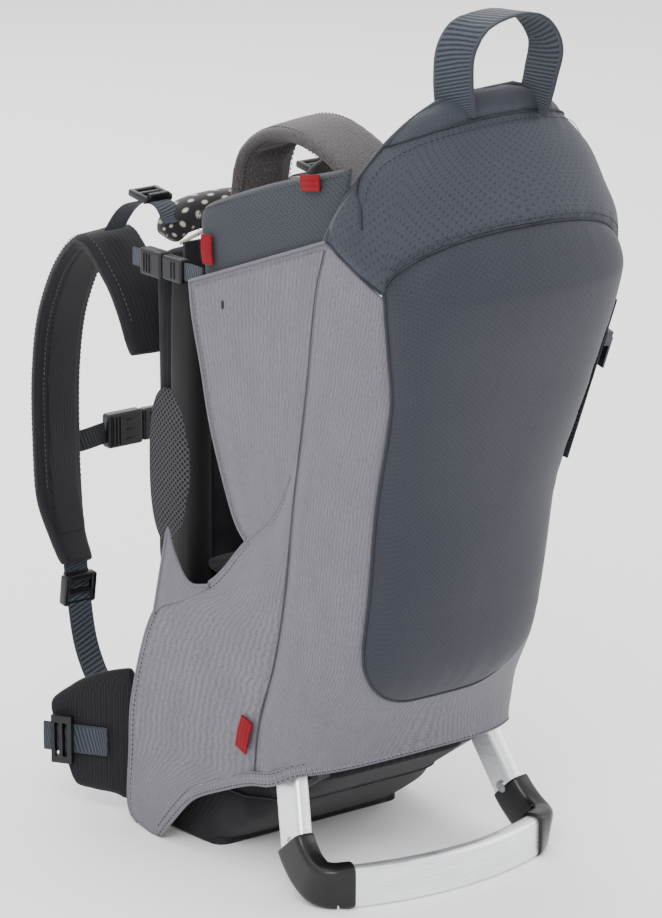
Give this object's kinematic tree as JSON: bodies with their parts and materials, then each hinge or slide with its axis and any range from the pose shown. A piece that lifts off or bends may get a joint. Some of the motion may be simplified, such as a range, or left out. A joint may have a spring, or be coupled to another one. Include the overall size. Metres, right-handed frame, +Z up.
{
  "type": "child carrier backpack",
  "caption": "Child carrier backpack with padded straps, side-open child seat, headrest, rear pouch, grab handle and fold-out stand.",
  "frame": {"origin": "on the flat base sole, under the middle of the pack", "axes": "+Z up, +Y towards the wearer's back, +X to the wearer's right as worn"},
  "size_m": [0.3088, 0.5437, 0.7175],
  "materials": {
    "cover_cloth": "fine twill, light warm grey",
    "pouch_cloth": "slate ripstop with small raised dots",
    "wing_cloth": "slate speckled padded cloth",
    "dark_cloth": "dark plain weave over foam",
    "mesh_cloth": "open spacer mesh",
    "melange_cloth": "melange grey-brown knit over foam",
    "webbing": "ribbed polyester webbing",
    "red_cloth": "red woven tape",
    "black_plastic": "moulded acetal",
    "satin_plastic": "satin black moulding",
    "sheet_plastic": "moulded sheet",
    "sole_rubber": "textured rubber",
    "aluminium": "satin anodised",
    "steel": "plated"
  },
  "bodies": {
    "pack": {"back_frame_tube": "aluminium", "back_sheet": "sheet_plastic", "base_cover": "dark_cloth", "base_tray": "sheet_plastic", "base_sole": "sole_rubber", "hinge_brackets": "black_plastic", "pivot_pins": "steel", "rear_cover": "cover_cloth", "storage_pouch": "pouch_cloth", "headrest": "pouch_cloth", "grab_handle": "webbing", "side_cover_left": "cover_cloth", "side_cover_right": "cover_cloth", "inner_side_left": "cover_cloth", "inner_side_right": "cover_cloth", "side_wing_left": "wing_cloth", "side_wing_right": "wing_cloth", "harness_pad_left": "melange_cloth", "harness_pad_right": "melange_cloth", "back_pad": "dark_cloth", "chin_pad": "wing_cloth", "hip_lumbar_pad": "mesh_cloth", "shoulder_strap_left": "dark_cloth", "shoulder_strap_right": "dark_cloth", "load_lifters": "webbing", "lifter_buckles": "black_plastic", "strap_webbing": "webbing", "strap_adjusters": "black_plastic", "hip_belt": "dark_cloth", "side_socket_left": "black_plastic", "side_socket_right": "black_plastic", "side_webbing": "webbing", "zip_tape": "pouch_cloth", "sewn_tabs": "red_cloth"},
    "stand": {"stand_leg_left": "aluminium", "stand_leg_right": "aluminium", "stand_corner_left": "satin_plastic", "stand_corner_right": "satin_plastic", "stand_bar": "aluminium", "stand_screws": "steel"},
    "hip_wing_left": {"hip_wing_left": "dark_cloth", "hip_webbing_left": "webbing", "hip_adjuster_left": "black_plastic"},
    "hip_wing_right": {"hip_wing_right": "dark_cloth", "hip_webbing_right": "webbing", "hip_adjuster_right": "black_plastic"},
    "seat": {"seat": "dark_cloth", "crotch_strap": "webbing", "harness_buckle": "black_plastic"},
    "sternum_strap": {"sternum_slider_left": "black_plastic", "sternum_slider_right": "black_plastic", "sternum_webbing_left": "webbing", "sternum_socket": "black_plastic"},
    "sternum_clip": {"sternum_clip": "black_plastic", "sternum_webbing_right": "webbing"},
    "side_clip_left": {"side_clip_left": "black_plastic"},
    "side_clip_right": {"side_clip_right": "black_plastic"},
    "zip_slider": {"zip_slider": "steel"},
    "zip_pull": {"zip_pull": "steel"}
  },
  "joints": [
    {"name": "stand_fold", "type": "hinge", "parent": "pack", "child": "stand", "pos_m": [0, -0.114, 0.104], "axis": [1, 0, 0], "range_deg": [0, 64]},
    {"name": "hip_wing_left_bend", "type": "hinge", "parent": "pack", "child": "hip_wing_left", "pos_m": [-0.108, 0.09, 0.07], "axis": [0, 0, 1], "range_deg": [-30, 20], "stiffness_Nm_per_rad": 0.2},
    {"name": "hip_wing_right_bend", "type": "hinge", "parent": "pack", "child": "hip_wing_right", "pos_m": [0.108, 0.09, 0.07], "axis": [0, 0, -1], "range_deg": [-30, 20], "stiffness_Nm_per_rad": 0.2},
    {"name": "seat_height", "type": "slide", "parent": "pack", "child": "seat", "axis": [0, 0, 1], "range_m": [0, 0.06]},
    {"name": "sternum_height", "type": "slide", "parent": "pack", "child": "sternum_strap", "axis": [0, 0, 1], "range_m": [-0.02, 0.02]},
    {"name": "sternum_release", "type": "slide", "parent": "sternum_strap", "child": "sternum_clip", "axis": [1, 0, 0], "range_m": [0, 0.02]},
    {"name": "side_release_left", "type": "slide", "parent": "pack", "child": "side_clip_left", "axis": [0, -1, 0], "range_m": [0, 0.016]},
    {"name": "side_release_right", "type": "slide", "parent": "pack", "child": "side_clip_right", "axis": [0, -1, 0], "range_m": [0, 0.016]},
    {"name": "zip_slide", "type": "slide", "parent": "pack", "child": "zip_slider", "axis": [0.1241, -0.2623, 0.957], "range_m": [-0.09, 0.02]},
    {"name": "zip_pull_swing", "type": "hinge", "parent": "zip_slider", "child": "zip_pull", "pos_m": [0.11387, -0.2518, 0.44524], "axis": [-0.0337, -0.965, -0.2601], "range_deg": [0, 110]}
  ]
}
